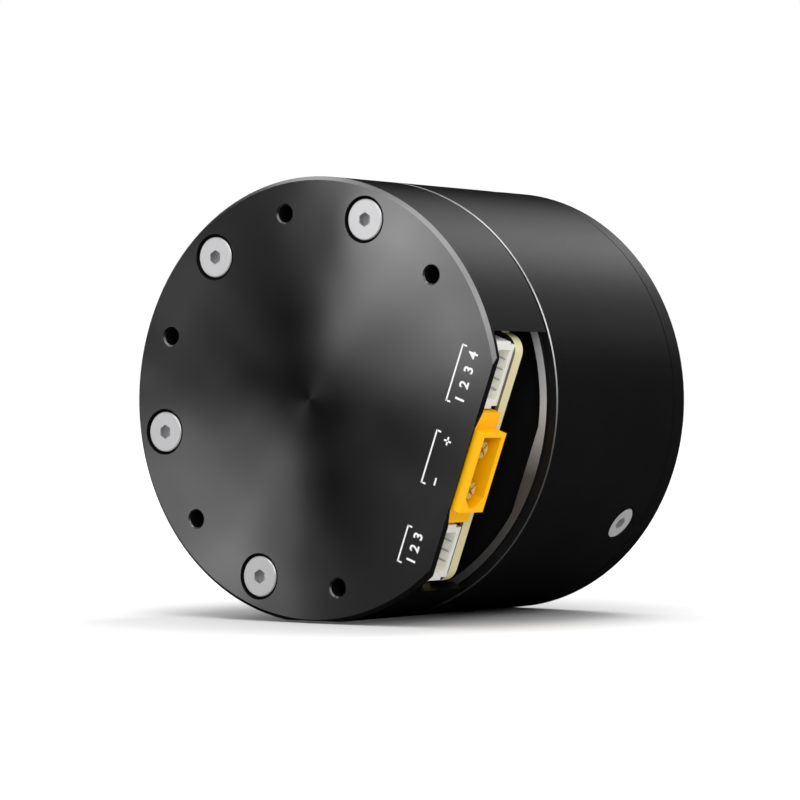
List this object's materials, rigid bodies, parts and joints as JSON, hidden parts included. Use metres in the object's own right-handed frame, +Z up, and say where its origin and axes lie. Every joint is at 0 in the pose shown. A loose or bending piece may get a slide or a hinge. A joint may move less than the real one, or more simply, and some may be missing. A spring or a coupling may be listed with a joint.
{
  "type": "robot joint actuator",
  "caption": "Short round geared motor for a robot joint, with a driver board, side connectors behind and a turning bolt flange in front.",
  "frame": {"origin": "centre of the output flange's face, on the output axis", "axes": "+Y along the output axis, out of the output flange; +Z up as the part lies on its round side; the connectors point 20 degrees below +X"},
  "size_m": [0.053, 0.043, 0.053],
  "materials": {
    "dark_anodised": "satin black anodised aluminium, turned on the rear face",
    "bare_aluminium": "machined aluminium",
    "stainless_screw": "bright stainless steel",
    "bearing_steel": "ground bearing steel",
    "bearing_ball": "polished",
    "gear_steel": "hobbed steel, lightly oiled",
    "shaft_steel": "ground steel",
    "bronze_bush": "sintered bronze",
    "gold_pin": "gold-plated brass",
    "copper_winding": "enamelled copper wire",
    "amber_nylon": "semi-gloss amber moulded nylon",
    "white_nylon": "white moulded nylon",
    "tin_contact": "tin-plated",
    "board_laminate": "black solder mask, pale laminate at the edge",
    "chip_black": "moulded epoxy",
    "ceramic": "ceramic chip with tinned ends",
    "lamination_steel": "stacked laminations",
    "magnet_nickel": "nickel-plated",
    "bell_steel": "turned steel",
    "lead_sleeve": "silicone-sleeved wire"
  },
  "bodies": {
    "housing": {"motor_housing": "dark_anodised", "rear_cover": "dark_anodised", "output_cover": "dark_anodised", "cover_screws": "stainless_screw", "side_screws": "stainless_screw", "circuit_board": "board_laminate", "board_standoffs": "gold_pin", "power_connector": "amber_nylon", "power_pins": "gold_pin", "serial_connector": "white_nylon", "serial_contacts": "tin_contact", "bus_connector": "white_nylon", "bus_contacts": "tin_contact", "controller_chip": "chip_black", "encoder_chip": "chip_black", "power_transistors": "chip_black", "edge_resistor": "chip_black", "capacitors": "ceramic", "phase_leads": "lead_sleeve", "stator_core": "lamination_steel", "stator_windings": "copper_winding", "front_bearing_outer_ring": "bearing_steel", "rear_bearing_outer_ring": "bearing_steel", "output_bearing_outer_ring": "bearing_steel", "ring_gear": "gear_steel", "bearing_retainer": "bare_aluminium"},
    "rotor": {"rotor_bell": "bell_steel", "rotor_magnets": "magnet_nickel", "rotor_shaft": "shaft_steel", "front_bearing_inner_ring": "bearing_steel", "rear_bearing_inner_ring": "bearing_steel", "bearing_spacer": "bare_aluminium", "magnet_holder": "bare_aluminium", "encoder_magnet": "magnet_nickel", "sun_gear": "gear_steel"},
    "output": {"output_flange": "bare_aluminium", "output_bearing_inner_ring": "bearing_steel", "planet_pins": "shaft_steel", "carrier_plate": "gear_steel", "carrier_screws": "stainless_screw"},
    "planet_1": {"planet_gear_1": "gear_steel", "planet_bush_1": "bronze_bush"},
    "planet_2": {"planet_gear_2": "gear_steel", "planet_bush_2": "bronze_bush"},
    "planet_3": {"planet_gear_3": "gear_steel", "planet_bush_3": "bronze_bush"},
    "front_ball_set": {"front_bearing_balls": "bearing_ball"},
    "rear_ball_set": {"rear_bearing_balls": "bearing_ball"},
    "output_ball_set": {"output_bearing_balls": "bearing_ball"}
  },
  "joints": [
    {"name": "rotor_spin", "type": "hinge", "parent": "housing", "child": "rotor", "pos_m": [0, 0, 0], "axis": [0, 1, 0], "continuous": true},
    {"name": "output_turn", "type": "hinge", "parent": "housing", "child": "output", "pos_m": [0, 0, 0], "axis": [0, 1, 0], "continuous": true},
    {"name": "planet_1_spin", "type": "hinge", "parent": "output", "child": "planet_1", "pos_m": [0.01057, -0.0107, -0.00385], "axis": [0, 1, 0], "continuous": true},
    {"name": "planet_2_spin", "type": "hinge", "parent": "output", "child": "planet_2", "pos_m": [-0.00195, -0.0107, 0.01108], "axis": [0, 1, 0], "continuous": true},
    {"name": "planet_3_spin", "type": "hinge", "parent": "output", "child": "planet_3", "pos_m": [-0.00862, -0.0107, -0.00723], "axis": [0, 1, 0], "continuous": true},
    {"name": "front_ball_roll", "type": "hinge", "parent": "housing", "child": "front_ball_set", "pos_m": [0, 0, 0], "axis": [0, 1, 0], "continuous": true},
    {"name": "rear_ball_roll", "type": "hinge", "parent": "housing", "child": "rear_ball_set", "pos_m": [0, 0, 0], "axis": [0, 1, 0], "continuous": true},
    {"name": "output_ball_roll", "type": "hinge", "parent": "housing", "child": "output_ball_set", "pos_m": [0, 0, 0], "axis": [0, 1, 0], "continuous": true}
  ],
  "couplings": [
    {"joint": "output_turn", "follows": "rotor_spin", "ratio": 0.13333},
    {"joint": "planet_1_spin", "follows": "rotor_spin", "ratio": -0.31515},
    {"joint": "planet_2_spin", "follows": "rotor_spin", "ratio": -0.31515},
    {"joint": "planet_3_spin", "follows": "rotor_spin", "ratio": -0.31515},
    {"joint": "front_ball_roll", "follows": "rotor_spin", "ratio": 0.43333},
    {"joint": "rear_ball_roll", "follows": "rotor_spin", "ratio": 0.43333},
    {"joint": "output_ball_roll", "follows": "rotor_spin", "ratio": 0.063284}
  ]
}
